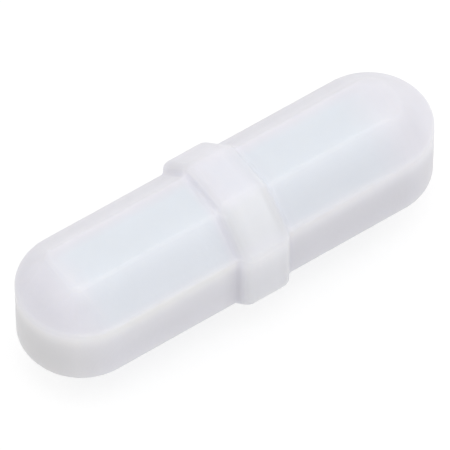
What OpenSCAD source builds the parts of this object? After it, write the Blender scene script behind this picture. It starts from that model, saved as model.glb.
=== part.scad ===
// Octagonal magnetic stir bar with a pivot ring.
// The bar lies along X, and the origin is on the vessel's floor, under the middle of the ring.
// Widths and heights of flats are those of the sharp octagon, before its edges are rounded.

/* [Bar] */
// Overall length of the bar, tip to tip
bar_l = 30; // [25:0.5:50]
// Width of the bar, across its two upright side flats
bar_w = 8.2; // [7.6:0.1:11]
// Height of the bar, across its top and bottom flats
bar_h = 8.8; // [8:0.1:11]
// Width of the top and bottom flats
top_flat_w = 3.6; // [2.6:0.1:5]
// Height of the side flats, which run round both ends of the bar
side_flat_h = 4.4; // [3:0.05:5.5]
// Run of the sloping nose, from the tip back to the end of the top flat
nose_l = 2.6; // [1.8:0.1:3.4]
// Plan radius of the corners of the top and bottom flats
flat_corner_r = 0.7; // [0.5:0.05:1.2]
// Rounding of the edges of the top and bottom flats
flat_edge_r = 0.5; // [0.2:0.05:0.8]
// Rounding of the edges of the side flats
side_edge_r = 0.4; // [0.2:0.05:1]

/* [Pivot ring] */
// Width of the ring, along the bar
ring_w = 3.6; // [2.4:0.1:6]
// How far the ring stands out from the flats
ring_t = 0.65; // [0.45:0.05:1.2]
// How far the ring stands out from the slopes
ring_slope_t = 0.5; // [0.4:0.05:1]
// Rounding of the ring's edges along the bar
ring_ridge_r = 0.6; // [0.45:0.05:1]
// Rounding of the ring's edges at its two flanks
ring_flank_r = 0.6; // [0.2:0.05:0.6]
// Radius of the cove where each flank runs out onto the bar
ring_root_r = 0.2; // [0.15:0.05:0.5]

/* [Magnet] */
// Diameter of the magnet rod
magnet_d = 6; // [4:0.1:6.3]
// Chamfer at both ends of the rod
magnet_chamfer = 0.5; // [0.2:0.1:1]
// Plastic between each end of the rod and the tip of the bar
end_wall = 3; // [2.5:0.1:7]

/* [Fits] */
// Gap all round between the rod and the plastic moulded over it
magnet_fit = 0.02; // [0:0.01:0.1]

/* [Hidden] */
// Facets of a full turn in plan, and of a full turn round an edge
plan_steps = 64;
edge_steps = 32;
// How far each cove dips into the surfaces it joins, so that it ends in clean lines
cove_dip = 0.01;
$fn = plan_steps;

axis_z = bar_h / 2 + ring_t;
magnet_l = bar_l - 2 * end_wall;
// Turn from the top flat to a slope and to the nose, and the slopes' distance from the bar's axis
slope_turn = atan2(bar_h - side_flat_h, bar_w - top_flat_w);
nose_turn = atan2((bar_h - side_flat_h) / 2, nose_l);
slope_d = top_flat_w / 2 * sin(slope_turn) + bar_h / 2 * cos(slope_turn);
// The bar's eight faces: turn from the top flat, distance from the axis, height of the ring on it
faces = [
    for (half = [0, 180], face = [
        [0, bar_h / 2, ring_t],
        [slope_turn, slope_d, ring_slope_t],
        [90, bar_w / 2, ring_t],
        [180 - slope_turn, slope_d, ring_slope_t],
    ]) [face[0] + half, face[1], face[2]]
];

// How far from an edge a rounding of radius r starts, where the surface turns by angle
function edge_run(r, angle) = r * tan(angle / 2);

// Corners [y, z] above and below a slope, with the bar's flats moved out by rise and its slopes by
// slope_rise
function upper_corner(rise, slope_rise) =
    [top_flat_w / 2 + (slope_rise - rise * cos(slope_turn)) / sin(slope_turn), bar_h / 2 + rise];
function lower_corner(rise, slope_rise) =
    [bar_w / 2 + rise, side_flat_h / 2 + (slope_rise - rise * sin(slope_turn)) / cos(slope_turn)];

// Fully rounded rim of a disc, which a hull fills in
module rounded_rim(disc_r, edge_r) {
    rotate_extrude()
        intersection() {
            translate([disc_r - edge_r, 0])
                circle(edge_r, $fn = edge_steps);
            translate([0, -edge_r])
                square([disc_r, 2 * edge_r]);
        }
}

// Octagonal bar with upright half-round ends, all of its edges rounded
module bar_body() {
    end_x = (bar_l - bar_w) / 2;
    side_z = side_flat_h / 2 - edge_run(side_edge_r, 90 - slope_turn);
    corner_x = bar_l / 2 - nose_l - flat_corner_r;
    corner_y = top_flat_w / 2 - flat_corner_r;
    flat_z = bar_h / 2 - flat_edge_r;
    corner_r = flat_corner_r - edge_run(flat_edge_r, nose_turn) + flat_edge_r;
    hull() {
        for (sx = [-1, 1], sz = [-1, 1])
            translate([sx * end_x, 0, sz * side_z])
                rounded_rim(bar_w / 2, side_edge_r);
        for (sx = [-1, 1], sy = [-1, 1], sz = [-1, 1])
            translate([sx * corner_x, sy * corner_y, sz * flat_z])
                rounded_rim(corner_r, flat_edge_r, $fn = edge_steps);
    }
}

// Octagonal band round the middle of the bar, on which the bar turns
module ring_band() {
    flank_x = ring_w / 2 - ring_flank_r;
    upper = upper_corner(ring_t, ring_slope_t) - [edge_run(ring_ridge_r, slope_turn), ring_ridge_r];
    lower = lower_corner(ring_t, ring_slope_t) - [ring_ridge_r, edge_run(ring_ridge_r, 90 - slope_turn)];
    hull()
        for (sx = [-1, 1], sy = [-1, 1], sz = [-1, 1], corner = [upper, lower])
            translate([sx * flank_x, sy * corner[0], sz * corner[1]])
                rotate([0, 90, 0])
                    rounded_rim(ring_ridge_r, ring_flank_r, $fn = edge_steps);
}

// Skirt that blends both flanks of the ring into the bar, with a cove along each of the eight faces
module ring_root() {
    blend_r = ring_flank_r + ring_root_r;
    function overlap(t) = max(0, blend_r - t);
    function skirt_rise(t) = ring_root_r * (1 - overlap(t) / blend_r);
    upper = upper_corner(skirt_rise(ring_t), skirt_rise(ring_slope_t));
    lower = lower_corner(skirt_rise(ring_t), skirt_rise(ring_slope_t));
    quarter = [upper, lower];
    difference() {
        rotate([90, 0, 90])
            linear_extrude(ring_w + 2 * ring_root_r, center = true)
                polygon([
                    for (turn = [[1, 1], [1, -1], [-1, -1], [-1, 1]], i = [0, 1])
                        let (corner = turn[0] == turn[1] ? quarter[i] : quarter[1 - i])
                            [turn[0] * corner[0], turn[1] * corner[1]]
                ]);
        for (face = faces, flip = [0, 1]) {
            reach = sqrt(pow(blend_r, 2) - pow(overlap(face[2]), 2));
            cove_x = ring_w / 2 - ring_flank_r + reach - cove_dip;
            mirror([flip, 0, 0])
                rotate([-face[0], 0, 0])
                    translate([cove_x, 0, face[1] + ring_root_r - cove_dip])
                        rotate([90, 0, 0])
                            linear_extrude(bar_w, center = true) {
                                circle(ring_root_r);
                                translate([0, -ring_root_r])
                                    square(2 * ring_root_r);
                            }
        }
    }
}

// Rod with chamfered ends, larger all round by grow
module rod(grow = 0) {
    r = magnet_d / 2 + grow;
    l = magnet_l + 2 * grow;
    rotate([0, 90, 0]) {
        cylinder(h = l - 2 * magnet_chamfer, r = r, center = true);
        for (s = [0, 1])
            mirror([0, 0, s])
                translate([0, 0, l / 2 - magnet_chamfer])
                    cylinder(h = magnet_chamfer, r1 = r, r2 = r - magnet_chamfer);
    }
}

// White fluoroplastic moulded round the magnet, bar and ring in one piece
module ptfe_jacket() {
    color("ghostwhite")
        translate([0, 0, axis_z])
            difference() {
                union() {
                    bar_body();
                    ring_band();
                    ring_root();
                }
                rod(magnet_fit);
            }
}

// Cast and ground rod magnet
module magnet_core() {
    color("slategray")
        translate([0, 0, axis_z])
            rod();
}

ptfe_jacket();
magnet_core();
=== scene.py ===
from math import atan2, cos, pi, radians, sin, tan

import bmesh
import bpy
from mathutils import Matrix, Vector


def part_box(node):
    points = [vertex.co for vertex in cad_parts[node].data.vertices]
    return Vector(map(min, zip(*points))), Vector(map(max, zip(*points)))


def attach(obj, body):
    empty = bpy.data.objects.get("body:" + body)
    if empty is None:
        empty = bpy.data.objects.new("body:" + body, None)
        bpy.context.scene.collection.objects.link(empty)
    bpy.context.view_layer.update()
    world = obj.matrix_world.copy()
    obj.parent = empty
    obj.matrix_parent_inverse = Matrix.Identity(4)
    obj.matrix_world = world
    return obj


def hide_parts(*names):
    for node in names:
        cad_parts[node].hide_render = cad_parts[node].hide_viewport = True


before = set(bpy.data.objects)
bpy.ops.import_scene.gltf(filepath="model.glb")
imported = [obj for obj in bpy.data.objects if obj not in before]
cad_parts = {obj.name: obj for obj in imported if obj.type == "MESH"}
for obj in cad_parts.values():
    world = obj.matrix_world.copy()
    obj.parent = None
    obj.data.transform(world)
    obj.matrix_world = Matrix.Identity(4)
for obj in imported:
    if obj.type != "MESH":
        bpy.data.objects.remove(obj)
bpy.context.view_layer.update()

# ---------------------------------------------------------------------------------------------
# Jacket: the white bar and its pivot ring, one piece of PTFE moulded and sintered round the
# magnet. It is eight-sided in section and half-round at both ends, all of its edges are eased,
# and the ring's flanks run out onto the bar in a small cove.
# ---------------------------------------------------------------------------------------------
# it is modelled in millimetres and brought to metres when it is whole
mm = 0.001
low, high = (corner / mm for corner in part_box("ptfe_jacket"))
ring_t = 0.65          # how far the ring stands out from the flats
ring_slope_t = 0.5     # and from the slopes
bar_l = high.x - low.x
bar_w = high.y - low.y - 2 * ring_t
bar_h = high.z - low.z - 2 * ring_t
axis_z = (low.z + high.z) / 2
top_flat_w = 3.6       # width of the top and bottom flats
side_flat_h = 4.4      # height of the side flats, which run round both ends
nose_l = 2.6           # run of the sloping nose, from the tip back to the top flat
left_corner_r = 0.5    # plan radius of the top and bottom flats' corners at the end on the left
right_corner_r = 1.4   # and at the other end, which came out of its mould softer
ring_top_w = 3.1       # across the ring's top, before its edges are rounded
ring_root_w = 3.8      # across its root, where its flanks meet the bar
slope_turn = atan2(bar_h - side_flat_h, bar_w - top_flat_w)
round_sides = 96       # facets of a full turn round an end of the bar, or round the magnet
corner_sides = 32      # and round a corner of the top flat


def deselect():
    if bpy.context.object and bpy.context.object.mode != "OBJECT":
        bpy.ops.object.mode_set(mode="OBJECT")
    bpy.ops.object.select_all(action="DESELECT")


def apply_modifier(piece, kind, **settings):
    bpy.context.view_layer.objects.active = piece
    modifier = piece.modifiers.new(kind, kind)
    for name, value in settings.items():
        setattr(modifier, name, value)
    bpy.ops.object.modifier_apply(modifier=modifier.name)


def skin_over(name, posts=(), blocks=()):
    """The convex solid stretched over round posts (radius, height, x, y, sides) and over blocks
    (length, width, height), all of them centred on the bar's axis."""
    seed_cube = 0.1             # well inside the bar, where the skin swallows it
    one_plane = radians(0.1)    # faces that turn less than this become one
    deselect()
    bpy.ops.mesh.primitive_cube_add(size=seed_cube, location=(0, 0, axis_z))
    bpy.ops.object.transform_apply()
    bpy.ops.object.mode_set(mode="EDIT")
    for radius, height, x, y, sides in posts:
        bpy.ops.mesh.primitive_cylinder_add(
            vertices=sides, radius=radius, depth=height, location=(x, y, axis_z))
    for block in blocks:
        bpy.ops.mesh.primitive_cube_add(size=1, scale=block, location=(0, 0, axis_z))
    bpy.ops.mesh.select_all(action="SELECT")
    bpy.ops.mesh.convex_hull()
    bpy.ops.mesh.select_all(action="SELECT")
    bpy.ops.mesh.dissolve_limited(angle_limit=one_plane)
    bpy.ops.object.mode_set(mode="OBJECT")
    piece = bpy.context.object
    piece.name = name
    return piece


# the bar: two half-round ends at the waist, and four small corners at the top and bottom flats
end_x = (bar_l - bar_w) / 2
flat_end = bar_l / 2 - nose_l
jacket = skin_over(
    "ptfe_moulding",
    posts=[(bar_w / 2, side_flat_h, s * end_x, 0, round_sides) for s in (-1, 1)]
    + [(r, bar_h, sx * (flat_end - r), sy * (top_flat_w / 2 - r), corner_sides)
       for sx, r in ((-1, left_corner_r), (1, right_corner_r)) for sy in (-1, 1)])


# the ring: an eight-sided drum whose flared flanks run on into the bar
def ring_blocks(out):
    """Two blocks whose skin is the ring's outline, at a share of its height above the bar."""
    rise, slope_rise = ring_t * out, ring_slope_t * out
    length = ring_root_w - (ring_root_w - ring_top_w) * out
    top_w = top_flat_w + 2 * (slope_rise - rise * cos(slope_turn)) / sin(slope_turn)
    side_h = side_flat_h + 2 * (slope_rise - rise * sin(slope_turn)) / cos(slope_turn)
    return [(length, top_w, bar_h + 2 * rise), (length, bar_w + 2 * rise, side_h)]


on_top, inside_bar = 1, -0.5
ring = skin_over("ring", blocks=ring_blocks(on_top) + ring_blocks(inside_bar))
apply_modifier(jacket, "BOOLEAN", object=ring, operation="UNION", solver="EXACT")
bpy.data.objects.remove(ring)
bpy.ops.object.mode_set(mode="EDIT")
bpy.ops.mesh.select_all(action="SELECT")
merge_distance = 0.004
bpy.ops.mesh.remove_doubles(threshold=merge_distance)
bpy.ops.object.mode_set(mode="OBJECT")


# every edge is eased by its own radius, through the weight that the bevel takes from the edge
def ease_edges(piece, run_of, segments=8):
    """Rounds a piece's edges: run_of(ends, turn) says how far from an edge its rounding starts."""
    width_at_full_weight = 0.5
    bm = bmesh.new()
    bm.from_mesh(piece.data)
    weight = bm.edges.layers.float.new("bevel_weight_edge")
    for edge in bm.edges:
        ends = [v.co - Vector((0, 0, axis_z)) for v in edge.verts]
        edge[weight] = run_of(ends, edge.calc_face_angle()) / width_at_full_weight
    bm.to_mesh(piece.data)
    bm.free()
    apply_modifier(piece, "BEVEL", width=width_at_full_weight, offset_type="OFFSET",
                   limit_method="WEIGHT", segments=segments, use_clamp_overlap=False)


facet_turn = radians(20)    # edges that turn less are only facets of a round face
near = 0.01                 # edges this close to a place count as on it
root_run = 0.24             # from the ring's root to the ends of its cove
crest_run = 0.28            # from the ring's edges along the bar to the ends of their rounding
flank_run = 0.36            # and from the edges at its flanks
side_edge_r = 0.4           # radius of the edges of the side flats
flat_edge_r = 0.5           # and of the top and bottom flats
left_nose_more_r = 0.3      # that radius grows by this much where the flat meets the left nose
right_nose_more_r = 1.4     # and by this much at the right nose


def jacket_edge(ends, turn):
    def both_at(axis, place):
        return all(abs(abs(end[axis]) - place) < near for end in ends)
    run = ends[1] - ends[0]
    if turn < facet_turn:
        return 0
    if both_at(0, ring_root_w / 2):
        return root_run
    if both_at(0, ring_top_w / 2):
        return crest_run if abs(run.x) > near else flank_run
    if both_at(2, bar_h / 2):
        more_r = left_nose_more_r if ends[0].x < 0 else right_nose_more_r
        return (flat_edge_r + more_r * abs(run.y) / run.length) * tan(turn / 2)
    return side_edge_r * tan(turn / 2)


ease_edges(jacket, jacket_edge)

# the magnet's cavity: a rod with chamfered ends, its faces turned to the inside
magnet_low, magnet_high = (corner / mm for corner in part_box("magnet_core"))
magnet_fit = 0.02           # gap all round between the rod and the plastic
magnet_chamfer = 0.5        # at both ends of the rod
cavity_r = (magnet_high.y - magnet_low.y) / 2 + magnet_fit
cavity_l = magnet_high.x - magnet_low.x + 2 * magnet_fit
rim_turn = radians(60)      # only the edges round both ends of the cavity turn more
deselect()
bpy.ops.mesh.primitive_cylinder_add(
    vertices=round_sides, radius=cavity_r, depth=cavity_l, rotation=(0, pi / 2, 0),
    location=(0, 0, axis_z))
bpy.ops.object.transform_apply()
cavity = bpy.context.object
ease_edges(cavity, lambda ends, turn: magnet_chamfer if turn > rim_turn else 0, segments=1)
bpy.ops.object.mode_set(mode="EDIT")
bpy.ops.mesh.select_all(action="SELECT")
bpy.ops.mesh.flip_normals()
deselect()
cavity.select_set(True)
jacket.select_set(True)
bpy.context.view_layer.objects.active = jacket
bpy.ops.object.join()
bpy.ops.object.shade_smooth()
apply_modifier(jacket, "WEIGHTED_NORMAL", keep_sharp=False, weight=100)
jacket.scale = (mm, mm, mm)
bpy.ops.object.transform_apply()


# ---- material
def srgb(code):
    """A colour written as on screen, in linear light."""
    parts = [int(code[i:i + 2], 16) / 255 for i in (0, 2, 4)]
    return [c / 12.92 if c <= 0.04045 else ((c + 0.055) / 1.055) ** 2.4 for c in parts] + [1]


def new_material(name):
    material = bpy.data.materials.new(name)
    material.use_nodes = True
    material.node_tree.nodes.clear()
    return material


def add(material, kind, inputs=None, **settings):
    """Adds a node with its settings, and with values or links for its inputs, and gives its
    output."""
    node = material.node_tree.nodes.new(kind)
    for name, value in settings.items():
        setattr(node, name, value)
    for name, value in (inputs or {}).items():
        socket = node.inputs[name] if isinstance(name, int) else next(
            s for s in node.inputs if s.name == name and s.enabled)
        if isinstance(value, bpy.types.NodeSocket):
            material.node_tree.links.new(value, socket)
        else:
            socket.default_value = value
    return next((socket for socket in node.outputs if socket.enabled), None)


def graded(material, *axes):
    """Grey that changes with place along an axis, or the product of several: each axis is given
    with its stops, which are (place in mm, grey)."""
    product = None
    for source, stops in axes:
        first, last = stops[0][0], stops[-1][0]
        share = add(material, "ShaderNodeMapRange", {
            "Value": source, "From Min": first * mm, "From Max": last * mm})
        grey = add(material, "ShaderNodeValToRGB", {"Fac": share})
        elements = grey.node.color_ramp.elements
        while len(elements) < len(stops):
            elements.new(0.5)
        for element, (place, shade) in zip(elements, stops):
            element.position = (place - first) / (last - first)
            element.color = (shade, shade, shade, 1)
        product = grey if product is None else add(
            material, "ShaderNodeMix", {"Factor": 1, "A": product, "B": grey},
            data_type="RGBA", blend_type="MULTIPLY")
    return product


# PTFE pressed from powder and sintered: a waxy, milky white with a cold cast and a satin skin
ptfe = new_material("ptfe_moulded_and_sintered")
place = add(ptfe, "ShaderNodeTexCoord").node.outputs["Object"]
along, across, height = add(ptfe, "ShaderNodeSeparateXYZ", {"Vector": place}).node.outputs

# painted light and shade: the colour is lighter just under each ridge and darker down the face
# below it, standing in for light that enters the milky plastic and comes out again there. The
# narrow ring gets less of this than the bar.
on_ring = graded(ptfe, (along, [(-2.2, 0), (-1.8, 0.8), (1.8, 0.8), (2.2, 0)]))
ridge_painted_light = graded(ptfe, (height, [
    (0, 0.862), (2.7, 0.862), (3.3, 0.854), (4.5, 0.84), (5.0, 0.845), (5.4, 0.854), (5.7, 0.867),
    (6.0, 0.889), (6.3, 0.928), (6.6, 0.966), (6.95, 0.986), (7.2, 0.931), (7.42, 0.862),
    (7.6, 0.858), (8.0, 0.858), (8.5, 0.867), (8.9, 0.889), (9.2, 0.9), (9.4, 0.886),
    (9.45, 0.893), (10.1, 0.893)]))
ring_painted_light = graded(ptfe, (height, [
    (0, 0.855), (4.5, 0.855), (5.3, 0.868), (5.95, 0.886), (6.25, 0.9), (6.55, 0.92),
    (6.85, 0.925), (7.15, 0.911), (7.4, 0.886), (7.6, 0.878), (8.4, 0.88), (8.86, 0.886),
    (9.1, 0.895), (9.5, 0.904), (9.9, 0.909), (10.02, 0.89), (10.1, 0.89)]))
painted_light = add(ptfe, "ShaderNodeMix", {"Factor": on_ring, "A": ridge_painted_light, "B": ring_painted_light},
           data_type="RGBA")
# painted shade along the bar: darker at its ends and on the ring's flanks, lighter at the ring's
# roots
length_painted_light = graded(ptfe, (along, [
    (-15, 0.94), (-14.2, 0.945), (-13.4, 0.98), (-2.5, 0.975), (-2.05, 0.995), (-1.5, 0.94),
    (-0.6, 0.98), (0.6, 0.985), (1.35, 0.92), (2.05, 1), (2.5, 0.968), (11.4, 0.968),
    (12.6, 0.955), (13.5, 0.975), (15, 0.985)]))
painted_light = add(ptfe, "ShaderNodeMix", {"Factor": 1, "A": painted_light, "B": length_painted_light},
           data_type="RGBA", blend_type="MULTIPLY")
# painted shade and light: the colour is a little darker in the places listed first, in corners
# where shade falls and on faces that get less light, and a little lighter in the others. Each row
# has its share of the painted light, and where that holds.
on_back_slope = ((across, [(0, 0), (1.9, 0), (2.3, 1)]), (height, [(7.3, 0), (7.8, 1)]))
for share, *where in (
        # the deep corner between the ring and the wall on its left
        (0.94, (along, [(-3.0, 0), (-2.2, 1), (-1.95, 1), (-1.75, 0)]),
         (height, [(2.5, 0), (3.3, 1), (6.2, 1), (7.3, 0)])),
        # the front of the nose on the right
        (0.96, (along, [(10.8, 0), (11.7, 1), (12.6, 1), (13.5, 0)]),
         (across, [(-4.1, 0.5), (-2.2, 0.9), (-1.0, 1), (0.2, 0.6), (1.4, 0)]),
         (height, [(6.8, 0), (7.4, 0.7), (9.2, 1), (9.45, 0.8)])),
        # low on the front, to the right
        (0.975, (along, [(2.2, 0.3), (5.0, 0.7), (8.5, 1), (11.0, 1), (12.2, 0)]),
         (across, [(-1.6, 1), (0, 0)]),
         (height, [(2.5, 1), (6.5, 1), (7.0, 0), (7.3, 0), (7.6, 0.9), (8.0, 0.9), (8.6, 0)])),
        # the far ridge of the top
        (0.965, (along, [(-2.3, 1), (-2.0, 0), (2.0, 0), (2.3, 0.65)]),
         (across, [(0.8, 0), (1.4, 1), (1.9, 1), (2.1, 0)]),
         (height, [(9.1, 0), (9.25, 1)])),
        # the far corner of the nose on the left
        (0.955, (along, [(-13.6, 0), (-12.6, 1), (-12.2, 0.8), (-11.0, 0)]),
         (across, [(-1.0, 0.2), (0.2, 0.5), (1.2, 0.8), (1.7, 1), (2.3, 1), (3.0, 0)]),
         (height, [(8.4, 0), (9.0, 1)])),
        # under its near corner
        (0.98, (along, [(-13.0, 0), (-12.3, 1), (-11.5, 1), (-10.5, 0)]),
         (across, [(-3.3, 0), (-2.6, 1), (-2.2, 1), (-1.8, 0)]),
         (height, [(7.8, 0), (8.4, 1)])),
        # the left of the back slope, and the back of the ring
        (0.965, (along, [(-13, 1), (-11, 1), (-9, 0.6), (-5, 0.3), (-2.2, 0.3), (-1.8, 0.9),
                         (0, 0.8), (1.8, 0.3), (2.2, 0)]), *on_back_slope),
        # the ring's left edge
        (0.965, (along, [(-1.9, 0), (-1.6, 1), (-1.35, 1), (-1.0, 0.4), (-0.6, 0)]),
         (height, [(7.3, 0), (8.0, 1), (9.6, 1), (10.0, 0)])),
        # its far corner
        (0.97, (along, [(-1.7, 0), (-1.3, 1), (-0.5, 1), (0.3, 0)]),
         (across, [(1.2, 0), (1.7, 1), (2.3, 1), (2.7, 0)]),
         (height, [(9.2, 0), (9.6, 1)])),
        # the ring's right edge
        (0.955, (along, [(1.0, 0), (1.3, 1), (1.6, 1), (1.8, 0)]),
         (across, [(-1.9, 1), (-1.4, 0.45)]),
         (height, [(7.3, 0), (8.0, 1)])),
        # and painted light on the wall on the left, and on the ring beside it
        (1.05, (along, [(-15, 0), (-14.3, 0.5), (-11.5, 0.5), (-9.0, 1), (-3.5, 0.8), (-2.5, 0.6),
                        (1.6, 0.6), (2.0, 0)]),
         (height, [(2.5, 0.6), (4.5, 0.6), (5.4, 1), (7.1, 1), (7.4, 0)])),
        # high on the wall on the right, beside the ring
        (1.014, (along, [(1.9, 0), (2.3, 1), (4.5, 1), (9.0, 0.4), (11.0, 0)]),
         (height, [(5.7, 0), (6.4, 1), (6.85, 1), (7.1, 0)])),
        # low on the front slope
        (1.014, (along, [(-13.5, 0), (-12.5, 0.8), (-11.8, 0.3), (-10.3, 0.2), (-8.5, 1),
                         (-2.6, 1), (-2.3, 0), (8.0, 0), (9.0, 0.7), (11.5, 0.7), (12.5, 0)]),
         (across, [(-4.1, 0), (-3.6, 1), (-2.9, 1), (-2.4, 0)]),
         (height, [(7.4, 0), (7.7, 1)])),
        # the ring's front slope, just left of its right edge
        (1.03, (along, [(0.6, 0), (0.95, 1), (1.05, 1), (1.15, 0)]),
         (across, [(-1.9, 1), (-1.4, 0)]),
         (height, [(8.0, 0), (8.8, 1), (9.6, 1), (9.9, 0)])),
        # the ring's root, on the front slope to its right
        (1.03, (along, [(1.8, 0), (1.95, 1), (2.05, 1), (2.2, 0)]),
         (across, [(-3.8, 0), (-3.0, 1), (-1.7, 1), (-1.3, 0)]),
         (height, [(7.8, 0), (8.5, 1), (9.0, 1), (9.3, 0)])),
        # the top, beside the ring
        (1.04, (along, [(-3.2, 0), (-2.2, 0.7), (-1.95, 1), (-1.6, 1), (-1.35, 0), (1.6, 0),
                        (1.8, 0.7), (1.95, 0.7), (2.1, 0.3), (2.9, 0.4), (4.0, 0.2), (9.0, 0.2),
                        (9.8, 0)]),
         (height, [(9.2, 0), (9.44, 1), (9.5, 1), (9.7, 0)])),
        # and the right of the back slope
        (1.03, (along, [(3.0, 0.3), (6.5, 0.5), (7.5, 1), (11.3, 1), (12.5, 0)]),
         *on_back_slope)):
    there = graded(ptfe, *where)
    painted_light = add(ptfe, "ShaderNodeMix", {"Factor": there, "A": painted_light, "B": (share, share, share, 1)},
               data_type="RGBA", blend_type="MULTIPLY")

# over the magnet the plastic is thin enough for the grey rod to take some of the red out of it.
# The rod shows for about 22 mm, and towards the front.
over_rod = graded(
    ptfe,
    (along, [(-13.0, 0), (-12.0, 0.4), (-11.0, 0.9), (-10.0, 1), (-2.6, 1), (-2.1, 0.3),
             (-1.6, 0.1), (-1.0, 0.1), (-0.4, 0.3), (1.0, 0.3), (1.6, 0.6), (1.9, 0.75),
             (2.4, 0.85), (3.0, 1), (8.8, 1), (10.0, 0.6), (11.0, 0.2), (12.0, 0)]),
    (across, [(-4.8, 0), (-4.0, 0.75), (-1.9, 0.8), (-1.5, 0.95), (0.8, 0.95), (1.6, 0)]),
    (height, [(0, 1), (2.5, 1), (3.1, 0), (7.0, 0), (7.6, 1), (10.1, 1)]))
colour = add(ptfe, "ShaderNodeMix", {"Factor": over_rod, "A": srgb("f9f8ff"), "B": srgb("f3f8ff")},
             data_type="RGBA")

# painted warm light: the walls round the ends are tinted a little warmer, as by warm light falling
# on them, one end more than the other
warm_painted_light = graded(ptfe, (along, [(-15, 0.9), (-13.5, 0.7), (-11, 0), (12, 0), (15, 0.4)]),
              (height, [(0, 1), (6.6, 1), (7.4, 0), (10.1, 0)]))
colour = add(ptfe, "ShaderNodeMix", {"Factor": warm_painted_light, "A": colour, "B": srgb("f8f7f8")},
             data_type="RGBA")
# and the ring's front is greyer than the bar
ring_front = graded(ptfe, (along, [(-2.0, 0), (-1.5, 1), (1.5, 1), (2.0, 0)]),
                    (across, [(-4.8, 0.6), (-4.2, 0.6), (-3.9, 1), (-2.3, 1), (-1.7, 0),
                              (4.8, 0)]))
colour = add(ptfe, "ShaderNodeMix", {"Factor": ring_front, "A": colour, "B": srgb("f8f9fd")},
             data_type="RGBA")
# the colour takes the painted light and shade
colour = add(ptfe, "ShaderNodeMix", {"Factor": 1, "A": colour, "B": painted_light},
             data_type="RGBA", blend_type="MULTIPLY")

# the powder sinters into faint clouds 2 to 3 mm across
clouds = add(ptfe, "ShaderNodeTexNoise", {"Vector": place, "Scale": 1 / (2.4 * mm), "Detail": 2})
clouds = add(ptfe, "ShaderNodeMapRange", {
    "Value": clouds, "From Min": 0.3, "From Max": 0.7, "To Min": 0.985, "To Max": 1})
colour = add(ptfe, "ShaderNodeMix", {"Factor": 1, "A": colour, "B": clouds},
             data_type="RGBA", blend_type="MULTIPLY")

# its skin has an uneven shine in half-millimetre patches, and is polished on the ring's crests,
# where the bar turns on them
shine = add(ptfe, "ShaderNodeTexNoise", {"Vector": place, "Scale": 1 / (0.5 * mm), "Detail": 2})
shine = add(ptfe, "ShaderNodeMapRange", {
    "Value": shine, "From Min": 0.3, "From Max": 0.7, "To Min": 0.36, "To Max": 0.46})
crests = graded(ptfe, (along, [(-1.6, 0), (-1.1, 0.06), (1.1, 0.06), (1.6, 0)]))
shine = add(ptfe, "ShaderNodeMath", {0: shine, 1: crests}, operation="SUBTRACT")

# its powder grain is about 0.03 mm, drawn at 0.3 mm so that it shows
grain = add(ptfe, "ShaderNodeTexNoise", {"Vector": place, "Scale": 1 / (0.3 * mm), "Detail": 2})
grain = add(ptfe, "ShaderNodeBump", {"Height": grain, "Distance": 0.012 * mm})
skin = add(ptfe, "ShaderNodeBsdfPrincipled", {
    "Base Color": colour,
    "Roughness": shine,
    "Normal": grain,
    "IOR": 1.35,
    "Subsurface Weight": 1,
    "Subsurface Radius": (1, 0.97, 0.94),
    "Subsurface Scale": 1.5 * mm,
})
add(ptfe, "ShaderNodeOutputMaterial", {"Surface": skin})
jacket.data.materials.clear()
jacket.data.materials.append(ptfe)
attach(jacket, "root")
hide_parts("ptfe_jacket")

# ---------------------------------------------------------------------------------------------
# Magnet: a rod of alnico, an iron alloy with aluminium, nickel and cobalt, cast in a sand mould
# and ground round on its side only. It is the CAD rod itself, sealed in the jacket, and gets a
# material.
# ---------------------------------------------------------------------------------------------
# Alnico cast and ground: dull grey metal with fine rings from the wheel, pin holes from the
# casting and darker, coarser ends that the wheel didn't reach
alnico = new_material("alnico_cast_and_ground")
place = add(alnico, "ShaderNodeTexCoord").node.outputs["Object"]
along = add(alnico, "ShaderNodeSeparateXYZ", {"Vector": place})
from_middle = add(alnico, "ShaderNodeMath", {0: along}, operation="ABSOLUTE")
rod_end = magnet_high.x
ground_end = rod_end - magnet_chamfer
as_cast = graded(alnico, (from_middle, [
    (0, 0), (ground_end - 0.1, 0), (ground_end, 1), (rod_end, 1)]))
# the wheel's lines are about 0.03 mm apart, drawn at 0.15 mm so that they show
wheel_lines = add(alnico, "ShaderNodeTexNoise", {
    "W": along, "Scale": 1 / (0.15 * mm), "Detail": 3}, noise_dimensions="1D")
# grains of the sand mould, and pin holes about a millimetre apart
sand = add(alnico, "ShaderNodeTexNoise", {"Vector": place, "Scale": 1 / (0.25 * mm), "Detail": 4})
solid = add(alnico, "ShaderNodeTexVoronoi", {"Vector": place, "Scale": 1 / (0.9 * mm)})
solid = add(alnico, "ShaderNodeMapRange", {"Value": solid, "From Min": 0.06, "From Max": 0.14})
ground = add(alnico, "ShaderNodeMix", {
    "Factor": wheel_lines, "A": srgb("8f8f8d"), "B": srgb("adaca8")}, data_type="RGBA")
cast = add(alnico, "ShaderNodeMix", {
    "Factor": sand, "A": srgb("5f5d5a"), "B": srgb("7b7875")}, data_type="RGBA")
colour = add(alnico, "ShaderNodeMix", {"Factor": as_cast, "A": ground, "B": cast},
             data_type="RGBA")
colour = add(alnico, "ShaderNodeMix", {"Factor": solid, "A": srgb("3d3b39"), "B": colour},
             data_type="RGBA")
relief = add(alnico, "ShaderNodeMix", {"Factor": as_cast, "A": wheel_lines, "B": sand})
relief = add(alnico, "ShaderNodeMath", {0: relief, 1: solid}, operation="MULTIPLY")
relief = add(alnico, "ShaderNodeBump", {"Height": relief, "Distance": 0.01 * mm})
dull = add(alnico, "ShaderNodeMapRange", {"Value": as_cast, "To Min": 0.38, "To Max": 0.62})
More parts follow.
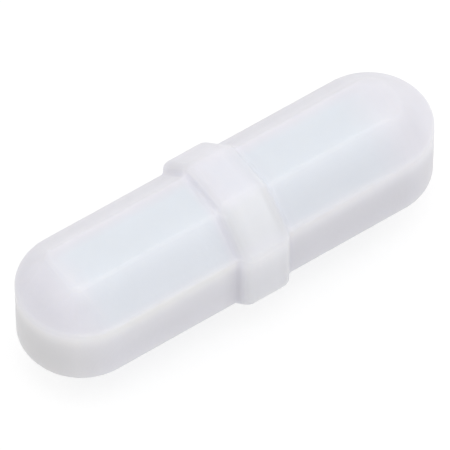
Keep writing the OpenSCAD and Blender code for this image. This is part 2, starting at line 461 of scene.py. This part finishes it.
metal = add(alnico, "ShaderNodeBsdfPrincipled", {
    "Base Color": colour, "Metallic": 1, "Roughness": dull, "Normal": relief})
add(alnico, "ShaderNodeOutputMaterial", {"Surface": metal})
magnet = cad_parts["magnet_core"]
for material_slot in magnet.material_slots:
    material_slot.material = alnico

# ---------------------------------------------------------------------------------------------
# Floor, light and camera: a sheet of white paper in a white tent, with three soft lamps. None of
# this belongs to the bar.
# ---------------------------------------------------------------------------------------------
floor_drop = 0.01 * mm      # keeps the ring's underside clear of the floor
deselect()
bpy.ops.mesh.primitive_plane_add(size=6, location=(0, 0, -floor_drop))
floor = bpy.context.object
floor.name = "floor"


def seen_directly(material):
    """1 for a ray that shows the surroundings, in the picture or in a reflection, and 0 for
    light."""
    path = add(material, "ShaderNodeLightPath").node.outputs
    share = path["Is Camera Ray"]
    for ray in ("Is Glossy Ray", "Is Transmission Ray"):
        share = add(material, "ShaderNodeMath", {0: share, 1: path[ray]}, operation="MAXIMUM")
    return share


# paper that shows white under this light, and still takes the bar's shadow
paper = new_material("white_paper")
plain = add(paper, "ShaderNodeBsdfDiffuse", {"Color": (0.8, 0.8, 0.8, 1)})
pale = add(paper, "ShaderNodeBsdfDiffuse", {"Color": (0.3, 0.3, 0.3, 1)})
own_white = add(paper, "ShaderNodeEmission", {"Color": (1, 1, 1, 1), "Strength": 0.75})
white = add(paper, "ShaderNodeAddShader", {0: pale, 1: own_white})
both = add(paper, "ShaderNodeMixShader", {0: seen_directly(paper), 1: plain, 2: white})
add(paper, "ShaderNodeOutputMaterial", {"Surface": both})
floor.data.materials.append(paper)

# an even white tent of light round the bar, which shows as plain white behind it
studio = bpy.data.worlds.new("studio")
bpy.context.scene.world = studio
studio.use_nodes = True
studio.node_tree.nodes.clear()
tent = add(studio, "ShaderNodeBackground", {"Color": (1, 1, 1, 1), "Strength": 0.778})
backdrop = add(studio, "ShaderNodeBackground", {"Color": (1, 1, 1, 1), "Strength": 1})
both = add(studio, "ShaderNodeMixShader", {0: seen_directly(studio), 1: tent, 2: backdrop})
add(studio, "ShaderNodeOutputWorld", {"Surface": both})


def direction(azimuth, elevation):
    """The way from the bar to a lamp or to the camera: azimuth 0 is its front, and 90 its right."""
    azimuth, elevation = radians(azimuth), radians(elevation)
    return Vector((sin(azimuth) * cos(elevation), -cos(azimuth) * cos(elevation), sin(elevation)))


# three soft lamps, equally far from the bar
bar_middle = Vector((0, 0, axis_z * mm))
lamp_distance = 0.6
for name, azimuth, elevation, size, watts in (
        ("overhead", 0, 90, 0.45, 0.776),
        ("front_right", 25, 25, 0.4, 0.25),
        ("right", 100, 30, 0.4, 0.136)):
    to_lamp = direction(azimuth, elevation)
    deselect()
    bpy.ops.object.light_add(type="AREA", location=bar_middle + lamp_distance * to_lamp)
    lamp = bpy.context.object
    lamp.name = name
    lamp.data.size = size
    lamp.data.energy = watts
    lamp.rotation_euler = to_lamp.to_track_quat("Z", "Y").to_euler()

# the camera looks down on the bar from the front left, a hair below and left of its middle
azimuth, elevation, roll = -34.50, 53.17, radians(-0.199)
distance = 0.484
aim_left, aim_down = 0.0706 * mm, 0.09185 * mm
back = direction(azimuth, elevation)
right = direction(azimuth + 90, 0)
up = back.cross(right)
aim = bar_middle - right * aim_left - up * aim_down
deselect()
bpy.ops.object.camera_add(location=aim + back * distance)
camera = bpy.context.object
turn = back.to_track_quat("Z", "Y").to_matrix()
camera.rotation_euler = (turn @ Matrix.Rotation(roll, 3, "Z")).to_euler()
camera.data.lens = 620.2
camera.data.sensor_width = 36
camera.data.clip_start = 0.01
bpy.context.scene.camera = camera
bpy.context.scene.view_settings.view_transform = "Standard"
